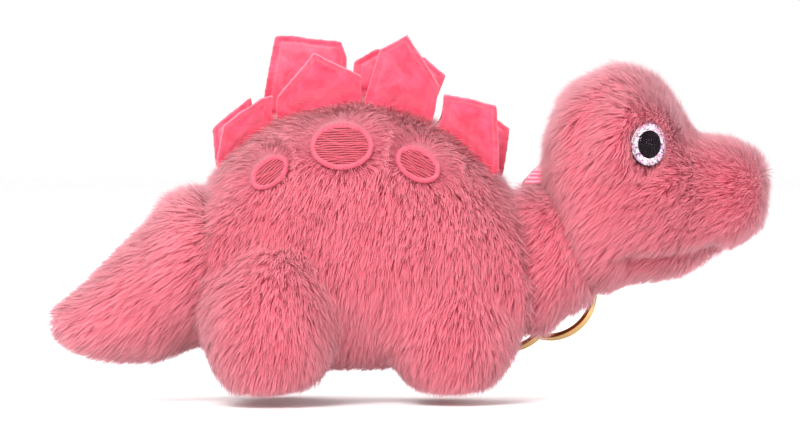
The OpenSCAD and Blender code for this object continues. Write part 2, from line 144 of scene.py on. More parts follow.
def new_material(name: str) -> tuple[bpy.types.Material, bpy.types.NodeTree, bpy.types.Node, bpy.types.Node]:
    """Makes an empty node material.

    Args:
        name: what the real material is.

    Returns:
        The material, its tree, its Principled shader and its output node.
    """
    material = bpy.data.materials.new(name)
    material.use_nodes = True
    tree = material.node_tree
    tree.nodes.clear()
    shader = add_node(tree, "ShaderNodeBsdfPrincipled")
    output = add_node(tree, "ShaderNodeOutputMaterial", {"Surface": shader.outputs[0]})
    return material, tree, shader, output


@dataclass(frozen=True)
class PilePlush:
    """Long-pile polyester plush: deep coral at the roots, which is painted shade deep in the pile, pale tips, which
    are a painted sheen, and light through each hair.
    """

    # root to tip: the darker roots are painted shade deep in the pile, the paler tips a painted sheen
    root: str = "#f0708a"
    shank: str = "#f4809a"
    body: str = "#f894a6"
    tip: str = "#fcb8c2"
    # rim: the colour of a painted sheen at grazing angles
    rim: str = "#f2c2ca"
    glow: float = 0.65
    own_normal: float = 0.15

    def make(self) -> bpy.types.Material:
        """Builds the material. UV u is a hair's tint and v runs from its root to its tip."""
        material, tree, shader, output = new_material("long_pile_plush")
        uv = add_node(tree, "ShaderNodeUVMap", uv_map="OFBake")
        parts = add_node(tree, "ShaderNodeSeparateXYZ", {0: uv.outputs[0]})
        # Painted shade and sheen: the colour darkens towards each hair's root and pales towards its tip
        along = add_ramp(tree, parts.outputs["Y"],
                         [(0.0, self.root), (0.3, self.shank), (0.65, self.body), (1.0, self.tip)])
        tint = add_ramp(tree, parts.outputs["X"], [(0.0, "#f2dade"), (0.5, "#fbf4f4"), (1.0, "#ffffff")])
        mixed = add_node(tree, "ShaderNodeMix", {0: 1.0, 6: along, 7: tint},
                         data_type="RGBA", blend_type="MULTIPLY")
        # The pile shades as one soft surface, so a hair's normal leans to the skin's
        stored = add_node(tree, "ShaderNodeAttribute", attribute_name="pile_normal")
        turned = add_node(tree, "ShaderNodeVectorTransform", {0: stored.outputs["Vector"]},
                          vector_type="NORMAL", convert_from="OBJECT", convert_to="WORLD")
        own = add_node(tree, "ShaderNodeNewGeometry")
        scaled = add_node(tree, "ShaderNodeVectorMath", {0: own.outputs["Normal"], "Scale": self.own_normal},
                          operation="SCALE")
        summed = add_node(tree, "ShaderNodeVectorMath", {0: turned.outputs[0], 1: scaled.outputs[0]},
                          operation="ADD")
        normal = add_node(tree, "ShaderNodeVectorMath", {0: summed.outputs[0]}, operation="NORMALIZE")
        # Painted sheen: where the skin is seen edge-on, the colour pales to the rim colour, as if only the pale tips
        # showed
        edge = add_node(tree, "ShaderNodeLayerWeight", {"Blend": 0.55, "Normal": turned.outputs[0]})
        grazing_sheen = add_node(tree, "ShaderNodeMix", {0: edge.outputs["Facing"], 6: mixed.outputs[2],
                                                  7: linear(self.rim)}, data_type="RGBA")
        colour = grazing_sheen.outputs[2]
        tree.links.new(colour, shader.inputs["Base Color"])
        tree.links.new(normal.outputs[0], shader.inputs["Normal"])
        shader.inputs["Roughness"].default_value = 0.75
        shader.inputs["Specular IOR Level"].default_value = 0.15
        through = add_node(tree, "ShaderNodeBsdfTranslucent", {"Color": colour})
        both = add_node(tree, "ShaderNodeMixShader",
                        {0: self.glow, 1: shader.outputs[0], 2: through.outputs[0]})
        tree.links.new(both.outputs[0], output.inputs["Surface"])
        return material


@dataclass(frozen=True)
class Velour:
    """Brushed velour: a short dense nap, painted paler towards grazing angles as a sheen, that marks where it is
    stroked.
    """

    deep: str = "#a82a40"
    light: str = "#c9485f"
    # nap: the colour of a painted sheen at grazing angles, also the shader's sheen tint
    nap: str = "#d88592"
    grain_mm: float = 0.35
    stroke_mm: float = 5.0

    def make(self) -> bpy.types.Material:
        """Builds the material."""
        material, tree, shader, _ = new_material("brushed_velour")
        place = add_node(tree, "ShaderNodeTexCoord").outputs["Object"]
        strokes = add_node(tree, "ShaderNodeTexNoise", {"Vector": place, "Scale": 1 / (self.stroke_mm * MM),
                                                        "Detail": 4.0, "Roughness": 0.6, "Distortion": 0.8})
        colour = add_ramp(tree, strokes.outputs["Fac"], [(0.32, self.deep), (0.68, self.light)])
        grain = add_node(tree, "ShaderNodeTexNoise", {"Vector": place, "Scale": 1 / (self.grain_mm * MM),
                                                      "Detail": 2.0})
        speck = add_node(tree, "ShaderNodeMapRange", {0: grain.outputs["Fac"], 1: 0.3, 2: 0.7, 3: 0.86, 4: 1.08})
        shaded = add_node(tree, "ShaderNodeVectorMath", {0: colour, "Scale": speck.outputs[0]}, operation="SCALE")
        # Painted sheen: towards grazing angles the colour pales to the nap colour
        edge = add_node(tree, "ShaderNodeLayerWeight", {"Blend": 0.35})
        mixed = add_node(tree, "ShaderNodeMix", {0: edge.outputs["Facing"], 6: shaded.outputs[0],
                                                 7: linear(self.nap)}, data_type="RGBA")
        bump = add_node(tree, "ShaderNodeBump", {"Height": grain.outputs["Fac"], "Strength": 0.5,
                                                 "Distance": 0.25 * MM})
        tree.links.new(mixed.outputs[2], shader.inputs["Base Color"])
        tree.links.new(bump.outputs[0], shader.inputs["Normal"])
        shader.inputs["Roughness"].default_value = 0.9
        shader.inputs["Specular IOR Level"].default_value = 0.1
        shader.inputs["Sheen Weight"].default_value = 0.35
        shader.inputs["Sheen Tint"].default_value = linear(self.nap)
        return material


@dataclass(frozen=True)
class Thread:
    """Rayon embroidery thread: a silky sheen along each stitch, over a twist too fine to see whole."""

    name: str
    colour: str
    twist_mm: float = 0.3

    def make(self) -> bpy.types.Material:
        """Builds the material."""
        material, tree, shader, _ = new_material(self.name)
        place = add_node(tree, "ShaderNodeTexCoord").outputs["Object"]
        twist = add_node(tree, "ShaderNodeTexNoise", {"Vector": place, "Scale": 1 / (self.twist_mm * MM)})
        shade = add_node(tree, "ShaderNodeMapRange", {0: twist.outputs["Fac"], 1: 0.3, 2: 0.7, 3: 0.75, 4: 1.15})
        colour = add_node(tree, "ShaderNodeVectorMath", {0: linear(self.colour)[:3], "Scale": shade.outputs[0]},
                          operation="SCALE")
        bump = add_node(tree, "ShaderNodeBump", {"Height": twist.outputs["Fac"], "Strength": 0.4,
                                                 "Distance": 0.1 * MM})
        tree.links.new(colour.outputs[0], shader.inputs["Base Color"])
        tree.links.new(bump.outputs[0], shader.inputs["Normal"])
        shader.inputs["Roughness"].default_value = 0.42
        shader.inputs["Sheen Weight"].default_value = 0.3
        return material


@dataclass(frozen=True)
class Grosgrain:
    """Grosgrain ribbon: raised ribs straight across its width, their grooves painted darker as shade, with a soft
    polyester gloss.
    """

    light: str = "#f2859a"
    deep: str = "#cf3d5c"
    ribs: float = 70.0

    def make(self) -> bpy.types.Material:
        """Builds the material. UV v runs along the ribbon."""
        material, tree, shader, _ = new_material("grosgrain_ribbon")
        uv = add_node(tree, "ShaderNodeUVMap", uv_map="Run")
        parts = add_node(tree, "ShaderNodeSeparateXYZ", {0: uv.outputs[0]})
        turns = add_node(tree, "ShaderNodeMath", {0: parts.outputs["Y"], 1: self.ribs * 2 * math.pi},
                         operation="MULTIPLY")
        wave = add_node(tree, "ShaderNodeMath", {0: turns.outputs[0]}, operation="SINE")
        height = add_node(tree, "ShaderNodeMapRange", {0: wave.outputs[0], 1: -1.0, 2: 1.0, 3: 0.0, 4: 1.0})
        # Painted shade: deep in the grooves between the ribs, light on their crests
        colour = add_ramp(tree, height.outputs[0], [(0.1, self.deep), (0.6, self.light)])
        bump = add_node(tree, "ShaderNodeBump", {"Height": height.outputs[0], "Strength": 0.8,
                                                 "Distance": 0.3 * MM})
        tree.links.new(colour, shader.inputs["Base Color"])
        tree.links.new(bump.outputs[0], shader.inputs["Normal"])
        shader.inputs["Roughness"].default_value = 0.5
        shader.inputs["Sheen Weight"].default_value = 0.3
        return material


@dataclass(frozen=True)
class GoldPlate:
    """Gold-plated spring steel: a bright pale gold with fine wear scratches along the coils."""

    colour: str = "#b9945c"
    scratch_mm: float = 0.6

    def make(self) -> bpy.types.Material:
        """Builds the material."""
        material, tree, shader, _ = new_material("gold_plated_steel")
        place = add_node(tree, "ShaderNodeTexCoord").outputs["Object"]
        wear = add_node(tree, "ShaderNodeTexNoise", {"Vector": place, "Scale": 1 / (self.scratch_mm * MM),
                                                     "Detail": 5.0})
        rough = add_node(tree, "ShaderNodeMapRange", {0: wear.outputs["Fac"], 1: 0.3, 2: 0.7, 3: 0.12, 4: 0.26})
        tree.links.new(rough.outputs[0], shader.inputs["Roughness"])
        shader.inputs["Base Color"].default_value = linear(self.colour)
        shader.inputs["Metallic"].default_value = 1.0
        return material


@dataclass(frozen=True)
class Glitter:
    """Glitter film: packed flakes that each catch the light alone, lilac to white with navy gaps, with a faint
    painted glow.
    """

    flake_mm: float = 0.42

    def make(self) -> bpy.types.Material:
        """Builds the material."""
        material, tree, shader, _ = new_material("glitter_film")
        place = add_node(tree, "ShaderNodeTexCoord").outputs["Object"]
        flakes = add_node(tree, "ShaderNodeTexVoronoi", {"Vector": place, "Scale": 1 / (self.flake_mm * MM)})
        chance = add_node(tree, "ShaderNodeSeparateColor", {0: flakes.outputs["Color"]})
        colour = add_ramp(tree, chance.outputs[0], [
            (0.0, "#3a2f52"), (0.16, "#8a6a94"), (0.34, "#d9a6c4"), (0.62, "#f1d6e2"), (0.86, "#ffffff")])
        lean = add_node(tree, "ShaderNodeVectorMath", {0: flakes.outputs["Color"], 1: (0.5, 0.5, 0.5)},
                        operation="SUBTRACT")
        less = add_node(tree, "ShaderNodeVectorMath", {0: lean.outputs[0], "Scale": 0.9}, operation="SCALE")
        own = add_node(tree, "ShaderNodeNewGeometry")
        summed = add_node(tree, "ShaderNodeVectorMath", {0: own.outputs["Normal"], 1: less.outputs[0]},
                          operation="ADD")
        normal = add_node(tree, "ShaderNodeVectorMath", {0: summed.outputs[0]}, operation="NORMALIZE")
        tree.links.new(colour, shader.inputs["Base Color"])
        # Painted glow: the flakes' colour is also emitted faintly, so the film glows though it is no lamp
        tree.links.new(colour, shader.inputs["Emission Color"])
        tree.links.new(normal.outputs[0], shader.inputs["Normal"])
        shader.inputs["Emission Strength"].default_value = 0.12
        shader.inputs["Metallic"].default_value = 0.55
        shader.inputs["Roughness"].default_value = 0.28
        return material


@dataclass(frozen=True)
class Plastic:
    """Moulded plastic: an even colour with a faint flow mottle in its gloss."""

    name: str
    colour: str
    roughness: float = 0.12
    gloss: float = 0.5

    def make(self) -> bpy.types.Material:
        """Builds the material."""
        material, tree, shader, _ = new_material(self.name)
        place = add_node(tree, "ShaderNodeTexCoord").outputs["Object"]
        flow = add_node(tree, "ShaderNodeTexNoise", {"Vector": place, "Scale": 1 / (1.5 * MM)})
        rough = add_node(tree, "ShaderNodeMapRange", {0: flow.outputs["Fac"], 1: 0.3, 2: 0.7,
                                                      3: self.roughness * 0.8, 4: self.roughness * 1.3})
        shader.inputs["Specular IOR Level"].default_value = self.gloss
        tree.links.new(rough.outputs[0], shader.inputs["Roughness"])
        shader.inputs["Base Color"].default_value = linear(self.colour)
        return material


@dataclass(frozen=True)
class ClearDome:
    """Clear acrylic: it shows what is under it, and mirrors the lights more towards its edge."""

    ior: float = 1.16

    def make(self) -> bpy.types.Material:
        """Builds the material."""
        material, tree, shader, output = new_material("clear_acrylic_dome")
        shader.inputs["Metallic"].default_value = 1.0
        shader.inputs["Roughness"].default_value = 0.03
        clear = add_node(tree, "ShaderNodeBsdfTransparent")
        edge = add_node(tree, "ShaderNodeFresnel", {"IOR": self.ior})
        both = add_node(tree, "ShaderNodeMixShader", {0: edge.outputs[0], 1: clear.outputs[0],
                                                      2: shader.outputs[0]})
        tree.links.new(both.outputs[0], output.inputs["Surface"])
        return material


# ---- Mesh helpers ----


def new_object(name: str, bm: bmesh.types.BMesh) -> bpy.types.Object:
    """Makes a scene object of a bmesh and frees the bmesh.

    Args:
        name: the piece's name.
        bm: the mesh.

    Returns:
        The object, at the origin.
    """
    mesh = bpy.data.meshes.new(name)
    bm.to_mesh(mesh)
    bm.free()
    made = bpy.data.objects.new(name, mesh)
    bpy.context.scene.collection.objects.link(made)
    return made


def cad_copy(nodes: Sequence[str]) -> bmesh.types.BMesh:
    """Copies CAD nodes' meshes into one bmesh, with their doubles merged.

    Args:
        nodes: the nodes' names.

    Returns:
        The merged bmesh.
    """
    bm = bmesh.new()
    for name in nodes:
        bm.from_mesh(frame["nodes"][name].data)
    bmesh.ops.remove_doubles(bm, verts=bm.verts, dist=1e-6)
    return bm


def applied(piece: bpy.types.Object) -> bpy.types.Object:
    """Applies all of a piece's modifiers.

    Args:
        piece: the object.

    Returns:
        The same object with its modifiers in its mesh.
    """
    shape = piece.evaluated_get(bpy.context.evaluated_depsgraph_get())
    mesh = bpy.data.meshes.new_from_object(shape, preserve_all_data_layers=True,
                                           depsgraph=bpy.context.evaluated_depsgraph_get())
    piece.modifiers.clear()
    piece.data = mesh
    return piece


def remeshed(piece: bpy.types.Object, voxel: float, smooth: int) -> bpy.types.Object:
    """Gives a piece an even skin.

    Args:
        piece: the object.
        voxel: the size of a face, in metres.
        smooth: how often the skin is smoothed.

    Returns:
        The same object.
    """
    remesh = piece.modifiers.new("even", "REMESH")
    remesh.mode = "VOXEL"
    remesh.voxel_size = voxel
    remesh.use_smooth_shade = True
    if smooth:
        soften = piece.modifiers.new("soften", "SMOOTH")
        soften.factor = 0.5
        soften.iterations = smooth
    return applied(piece)


def vertex_arrays(mesh: bpy.types.Mesh) -> tuple[np.ndarray, np.ndarray]:
    """Reads a mesh's vertices.

    Args:
        mesh: the mesh.

    Returns:
        Places and normals, one row a vertex.
    """
    count = len(mesh.vertices)
    places = np.zeros(count * 3)
    normals = np.zeros(count * 3)
    mesh.vertices.foreach_get("co", places)
    mesh.vertex_normals.foreach_get("vector", normals)
    return places.reshape(-1, 3), normals.reshape(-1, 3)


def set_places(mesh: bpy.types.Mesh, places: np.ndarray) -> None:
    """Moves a mesh's vertices to new places."""
    mesh.vertices.foreach_set("co", places.ravel())
    mesh.update()


def shade_smooth(mesh: bpy.types.Mesh) -> None:
    """Shades all of a mesh's faces smooth."""
    mesh.polygons.foreach_set("use_smooth", np.ones(len(mesh.polygons), bool))


def dress(mesh: bpy.types.Mesh, material: bpy.types.Material) -> None:
    """Gives a mesh one material in place of those it has."""
    mesh.materials.clear()
    mesh.materials.append(material)


def store(mesh: bpy.types.Mesh, name: str, values: np.ndarray) -> None:
    """Stores a value or vector of each vertex as an attribute."""
    vector = values.ndim == 2
    layer = mesh.attributes.new(name, "FLOAT_VECTOR" if vector else "FLOAT", "POINT")
    layer.data.foreach_set("vector" if vector else "value", values.ravel())


def bell(distance: np.ndarray, width: float) -> np.ndarray:
    """A soft bump: 1 at no distance, falling to 0 over a few widths."""
    return np.exp(-(distance / width) ** 2)


def step(values: np.ndarray, low: float, high: float) -> np.ndarray:
    """A smooth step from 0 at low to 1 at high."""
    t = np.clip((values - low) / (high - low), 0, 1)
    return t * t * (3 - 2 * t)


def path_distance(points: np.ndarray, path: Sequence[tuple[float, float]]) -> np.ndarray:
    """How far points are from a path of straight runs, in two dimensions.

    Args:
        points: one row of two numbers each.
        path: the path's corners.

    Returns:
        The distances.
    """
    best = np.full(len(points), 1e9)
    for a, b in zip(path[:-1], path[1:]):
        a, b = np.array(a), np.array(b)
        t = np.clip(((points - a) @ (b - a)) / ((b - a) @ (b - a)), 0, 1)
        best = np.minimum(best, np.linalg.norm(points - a - t[:, None] * (b - a), axis=1))
    return best


# ---- Pile ----


@dataclass
class Pile:
    """The hairs of the plush: tapered blades that grow from a skin and lie along its nap."""

    material: bpy.types.Material
    length: float = 5.4 * MM
    width: float = 0.23 * MM
    per_mm2: float = 9.0
    lie: float = 1.0
    clump_mm: float = 1.7
    clump_lean: float = 0.28
    swing: float = 0.8
    swing_mm: float = 9.0
    stray: float = 0.22
    blade: Optional[bpy.types.Object] = None

    def make_blade(self) -> bpy.types.Object:
        """Makes the hair that is repeated: two short faces, a hump in its length and a fine tip.

        Returns:
            The blade, a unit long up Z, hidden from the render.
        """
        bm = bmesh.new()
        bmesh.ops.create_grid(bm, x_segments=1, y_segments=2, size=0.5)
        along = bm.verts.layers.float.new("along")
        for v in bm.verts:
            t = v.co.y + 0.5
            v[along] = t
            taper = 1.0 - 0.8 * t ** 1.5
            v.co = Vector((v.co.x * 2 * self.width / 2 / self.length * taper, 0.16 * math.sin(math.pi * t), t))
        tips = [v for v in bm.verts if v[along] > 0.99]
        bmesh.ops.pointmerge(bm, verts=tips, merge_co=sum((v.co for v in tips), Vector()) / len(tips))
        blade = new_object("hair_blade", bm)
        blade.data.materials.append(self.material)
        return blade

    def tree(self, density: float, length: float, seed: int) -> bpy.types.NodeTree:
        """Builds the nodes that grow the hairs on a skin.

        Args:
            density: hairs on a square metre.
            length: length of a full hair, in metres.
            seed: starts the random choices.

        Returns:
            The node tree.
        """
        tree = bpy.data.node_groups.new("pile", "GeometryNodeTree")
        tree.interface.new_socket("Geometry", in_out="INPUT", socket_type="NodeSocketGeometry")
        tree.interface.new_socket("Geometry", in_out="OUTPUT", socket_type="NodeSocketGeometry")
        skin = add_node(tree, "NodeGroupInput").outputs[0]
        cover = add_node(tree, "GeometryNodeInputNamedAttribute", {"Name": "cover"}, data_type="FLOAT")
        dense = add_node(tree, "ShaderNodeMath", {0: cover.outputs[0], 1: density}, operation="MULTIPLY")
        scatter = add_node(tree, "GeometryNodeDistributePointsOnFaces",
                           {"Mesh": skin, "Density": dense.outputs[0], "Seed": seed})
        flow = add_node(tree, "GeometryNodeInputNamedAttribute", {"Name": "flow"}, data_type="FLOAT_VECTOR")
        pile = add_node(tree, "GeometryNodeInputNamedAttribute", {"Name": "pile"}, data_type="FLOAT")
        shade = add_node(tree, "GeometryNodeInputNamedAttribute", {"Name": "shade"}, data_type="FLOAT")
        place = add_node(tree, "GeometryNodeInputPosition").outputs[0]
        marked = add_node(tree, "GeometryNodeStoreNamedAttribute",
                          {"Geometry": scatter.outputs["Points"], "Name": "pile_normal",
                           "Value": scatter.outputs["Normal"]}, data_type="FLOAT_VECTOR", domain="POINT")
        kept = add_node(tree, "GeometryNodeInputNamedAttribute", {"Name": "pile_normal"}, data_type="FLOAT_VECTOR")
        # Locks: hairs of one cell lean to its middle and share a small turn
        cells = add_node(tree, "ShaderNodeTexVoronoi", {"Vector": place, "Scale": 1 / (self.clump_mm * MM)})
        to_middle = add_node(tree, "ShaderNodeVectorMath", {0: cells.outputs["Position"], 1: place},
                             operation="SUBTRACT")
        lean = add_node(tree, "ShaderNodeVectorMath",
                        {0: to_middle.outputs[0], "Scale": self.clump_lean / (self.clump_mm * MM)}, operation="SCALE")
        swirl = add_node(tree, "ShaderNodeTexNoise",
                         {"Vector": place, "Scale": 1 / (self.swing_mm * MM), "Detail": 2.0})
        swing = add_node(tree, "ShaderNodeVectorMath", {0: swirl.outputs["Color"], 1: (0.5, 0.5, 0.5)},
                         operation="SUBTRACT")
        swung = add_node(tree, "ShaderNodeVectorMath", {0: swing.outputs[0], "Scale": self.swing}, operation="SCALE")
        chance = add_node(tree, "FunctionNodeRandomValue", {"Min": (-1, -1, -1), "Max": (1, 1, 1), "Seed": seed + 1},
                          data_type="FLOAT_VECTOR")
        stray = add_node(tree, "ShaderNodeVectorMath", {0: chance.outputs[0], "Scale": self.stray}, operation="SCALE")
        up = add_node(tree, "ShaderNodeVectorMath", {0: kept.outputs[0], "Scale": self.lie}, operation="SCALE")
        way = flow.outputs[0]
        for extra in (up, lean, swung, stray):
            way = add_node(tree, "ShaderNodeVectorMath", {0: way, 1: extra.outputs[0]}, operation="ADD").outputs[0]
        aimed = add_node(tree, "FunctionNodeAlignRotationToVector", {"Vector": way}, axis="Z")
        facing = add_node(tree, "ShaderNodeVectorMath", {0: kept.outputs[0], 1: chance.outputs[0]}, operation="ADD")
        turned = add_node(tree, "FunctionNodeAlignRotationToVector",
                          {"Rotation": aimed.outputs[0], "Vector": facing.outputs[0]}, axis="Y", pivot_axis="Z")
        size = add_node(tree, "FunctionNodeRandomValue", {2: 0.72 * length, 3: 1.12 * length, "Seed": seed + 2},
                        data_type="FLOAT")
        tall = add_node(tree, "ShaderNodeMath", {0: size.outputs[1], 1: pile.outputs[0]}, operation="MULTIPLY")
        blade = add_node(tree, "GeometryNodeObjectInfo", {"Object": self.blade})
        tint = add_node(tree, "FunctionNodeRandomValue", {2: 0.0, 3: 0.5, "Seed": seed + 3}, data_type="FLOAT")
        tone = add_node(tree, "ShaderNodeMath", {0: tint.outputs[1], 1: shade.outputs[0]}, operation="ADD",
                        use_clamp=True)
        tinted = add_node(tree, "GeometryNodeStoreNamedAttribute",
                          {"Geometry": marked.outputs[0], "Name": "tint", "Value": tone.outputs[0]},
                          data_type="FLOAT", domain="POINT")
        hairs = add_node(tree, "GeometryNodeInstanceOnPoints",
                         {"Points": tinted.outputs[0], "Instance": blade.outputs["Geometry"],
                          "Rotation": turned.outputs[0], "Scale": tall.outputs[0]})
        real = add_node(tree, "GeometryNodeRealizeInstances", {0: hairs.outputs[0]})
        tint_read = add_node(tree, "GeometryNodeInputNamedAttribute", {"Name": "tint"}, data_type="FLOAT")
        along = add_node(tree, "GeometryNodeInputNamedAttribute", {"Name": "along"}, data_type="FLOAT")
        chart = add_node(tree, "ShaderNodeCombineXYZ", {0: tint_read.outputs[0], 1: along.outputs[0]})
        mapped = add_node(tree, "GeometryNodeStoreNamedAttribute",
                          {"Geometry": real.outputs[0], "Name": "OFBake", "Value": chart.outputs[0]},
                          data_type="FLOAT2", domain="CORNER")
        add_node(tree, "NodeGroupOutput", {0: mapped.outputs[0]})
        return tree

    def grow(self, skin: bpy.types.Object, seed: int, length: Optional[float] = None) -> None:
        """Grows the pile on a skin and joins both into one piece.

        Args:
            skin: the skin, with its cover, flow, pile and shade attributes.
            seed: starts the random choices.
            length: a full hair's length, or None for the usual one.
        """
        if self.blade is None:
            self.blade = self.make_blade()
        coat = bpy.data.objects.new(skin.name + "_coat", skin.data.copy())
        bpy.context.scene.collection.objects.link(coat)
        grown = coat.modifiers.new("pile", "NODES")
        grown.node_group = self.tree(self.per_mm2 / MM ** 2, length or self.length, seed)
        applied(coat)
        # The skin under the hairs takes the root colour, the painted shade deep in the pile
        layer = skin.data.uv_layers.new(name="OFBake")
        layer.uv.foreach_set("vector", np.tile([0.3, 0.02], len(skin.data.loops)))
        _, normals = vertex_arrays(skin.data)
        store(skin.data, "pile_normal", normals)
        dress(skin.data, self.material)
        with bpy.context.temp_override(active_object=skin, object=skin, selected_objects=[skin, coat],
                                       selected_editable_objects=[skin, coat]):
            bpy.ops.object.join()
        shade_smooth(skin.data)

    def finish(self) -> None:
        """Removes the blade that was repeated."""
        bpy.data.objects.remove(self.blade)


# ---- Plush skins ----


@dataclass
class Spot:
    """An embroidered spot: its place on the flank and its size, in metres."""

    name: str
    x: float
    z: float
    long: float
    high: float
    slope: float

    def local(self, x: np.ndarray, z: np.ndarray) -> tuple[np.ndarray, np.ndarray]:
        """Turns places on the flank into shares of the spot's half-sizes."""
        c, s = math.cos(self.slope), math.sin(self.slope)
        u = ((x - self.x) * c + (z - self.z) * s) / self.long
        v = (-(x - self.x) * s + (z - self.z) * c) / self.high
        return u, v


def spots() -> list[Spot]:
    """The three spots of a flank, placed from the CAD pads' boxes."""
    made = []
    for name, long, high, slope in (("rear", 5.3, 3.4, 38), ("middle", 8.1, 6.0, 0), ("front", 6.0, 4.0, -30)):
        low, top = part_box(f"spot_{name}_right")
        made.append(Spot(name, (low.x + top.x) / 2, (low.z + top.z) / 2, long * MM, high * MM,
                         math.radians(slope)))
    return made


@dataclass
class Skins:
    """The plush skins of the torso, the tail, and the head with its neck."""

    pile: Pile
    head_pile: float = 6.0 * MM
    tail_pile: float = 6.6 * MM
    voxel: float = 1.3 * MM
    lump: float = 0.9 * MM
    lump_wave: float = 15 * MM
    mouth_deep: float = 3.0 * MM
    nape_rise: float = 9.0 * MM
    throat_drop: float = 4.5 * MM
    seam_deep: float = 2.0 * MM
    crown_room: float = 17 * MM
    crown_round: float = 0.54
    crown_back: float = 2.2 * MM
    brow_dip: float = 1.6 * MM
    eye_seat: float = 4.4 * MM

    def skin(self, name: str, nodes: Sequence[str], smooth: int) -> bpy.types.Object:
        """Makes a skin that encloses a body's stuffing.

        Args:
            name: the piece's name.
            nodes: the stuffing's CAD nodes.
            smooth: how often the skin is smoothed.

        Returns:
            The skin, remeshed, smoothed and a little uneven.
        """
        piece = remeshed(new_object(name, cad_copy(nodes)), self.voxel, smooth)
        places, normals = vertex_arrays(piece.data)
        rise = np.array([noise.noise(Vector(p) / self.lump_wave) for p in places])
        set_places(piece.data, places + normals * (rise * self.lump)[:, None])
        return piece

    def nap(self, piece: bpy.types.Object, flow: np.ndarray, pile: np.ndarray, cover: np.ndarray) -> None:
        """Stores how the hairs lie on a skin.

        Args:
            piece: the skin.
            flow: the way that the nap runs at each vertex.
            pile: the hairs' length at each vertex, as a share.
            cover: the hairs' number at each vertex, as a share.
        """
        places, normals = vertex_arrays(piece.data)
        flat = flow - normals * np.sum(flow * normals, axis=1)[:, None]
        flat /= np.maximum(np.linalg.norm(flat, axis=1), 1e-6)[:, None]
        shade = np.array([noise.noise(Vector(p) / (11 * MM)) for p in places]) * 0.35 + 0.27
        store(piece.data, "flow", flat)
        store(piece.data, "pile", pile)
        store(piece.data, "cover", cover)
        store(piece.data, "shade", shade)

    def torso(self) -> None:
        """Builds the torso's skin: nap down the flanks, short and parted round the spots."""
        piece = self.skin("torso_plush", ["torso_stuffing"], 6)
        places, normals = vertex_arrays(piece.data)
        x, y, z = places.T
        flow = np.stack([-0.25 + 0 * x, 0.35 * np.sign(y) * step(z, 0.05, 0.08), -1.0 + 0 * x], axis=1)
        pile = np.ones(len(places))
        cover = np.ones(len(places))
        for spot in spots():
            u, v = spot.local(x, z)
            r = np.hypot(u, v)
            side = np.abs(y) > 0.008
            away = np.stack([x - spot.x, 0 * x, z - spot.z], axis=1)
            away /= np.maximum(np.linalg.norm(away, axis=1), 1e-6)[:, None]
            near = (1 - step(r, 1.0, 1.9)) * side
            flow += away * (near * 3.0)[:, None]
            pile *= 1 - 0.5 * (1 - step(r, 1.0, 1.7)) * side
            cover *= np.where(side & (r < 0.98), 0.0, 1.0)
        sole = step(-normals[:, 2], 0.5, 0.9) * (1 - step(z, 0.004, 0.012))
        pile *= 1 - 0.7 * sole
        self.nap(piece, flow, pile, cover)
        self.pile.grow(piece, 11)
        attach(piece, "torso")
        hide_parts("torso_panel_right", "torso_panel_left", "belly_gusset", "torso_stuffing")

    def tail(self) -> None:
        """Builds the tail's skin: nap back to the tip and down."""
        piece = self.skin("tail_plush", ["tail_stuffing"], 6)
        places, _ = vertex_arrays(piece.data)
        flow = np.stack([-0.75 + 0 * places[:, 0], 0 * places[:, 0], -0.65 + 0 * places[:, 0]], axis=1)
        self.nap(piece, flow, np.ones(len(places)), np.where(places[:, 0] > -0.045, 0.0, 1.0))
        self.pile.grow(piece, 21, length=self.tail_pile)
        pivot = self.joint_place("tail_wag")
        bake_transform(piece)
        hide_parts("tail_panel_right", "tail_panel_left", "tail_stuffing")

    def shape_neck(self, piece: bpy.types.Object) -> None:
        """Fills the nape, drops the throat's lumps and draws in the seam between neck and head.

        Args:
            piece: the head and neck's skin.
        """
        places, normals = vertex_arrays(piece.data)
        neck_low, neck_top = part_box("neck_panel_right")
        pivot = self.joint_place("neck_bend")
        x, _, z = places.T
        nape = bell(x - pivot.x + 1.5 * MM, 9.5 * MM) * step(z, pivot.z, pivot.z + 10 * MM)
        lumps = bell(x - pivot.x - 1 * MM, 4.5 * MM) + 0.9 * bell(x - pivot.x - 10.5 * MM, 4.5 * MM)
        places[:, 2] += self.nape_rise * nape
        places[:, 2] -= self.throat_drop * lumps * step(-z, -pivot.z, -neck_low.z)
        seam_top = (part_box("head_panel_right")[0].x + 1 * MM, neck_top.z - 1 * MM)
        seam_low = (neck_top.x - 1 * MM, neck_low.z + 9 * MM)
        seam = bell(path_distance(places[:, [0, 2]], [seam_top, seam_low]), 2.4 * MM)
        set_places(piece.data, places - normals * (self.seam_deep * seam)[:, None])

    def shape_face(self, piece: bpy.types.Object) -> np.ndarray:
        """Rounds the crown, dips the brow, folds the mouth and seats the eyes.

        Args:
            piece: the head and neck's skin.

        Returns:
            How much each vertex lies in the mouth's fold, from 0 to 1.
        """
        places, normals = vertex_arrays(piece.data)
        neck_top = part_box("neck_panel_right")[1]
        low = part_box("chin_gusset")[0]
        box_low, box_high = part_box("head_panel_right")
        span = box_high.x - box_low.x
        tall = box_high.z - low.z
        # The back of the crown is rounded off, and the brow dips to the snout
        past = (box_low.x - places[:, 0] + places[:, 2] - box_high.z) / math.sqrt(2) + self.crown_room
        places += np.outer(np.maximum(past, 0) * self.crown_round / math.sqrt(2), (1, 0, -1))
        places[:, 0] += self.crown_back * bell(places[:, 0] - box_low.x, 9 * MM) * step(
            places[:, 2], neck_top.z, neck_top.z + 12 * MM)
        brow = np.hypot(places[:, 0] - box_low.x - 0.665 * span, places[:, 2] - box_high.z + 22 * MM)
        places -= normals * (self.brow_dip * bell(brow, 7 * MM))[:, None]
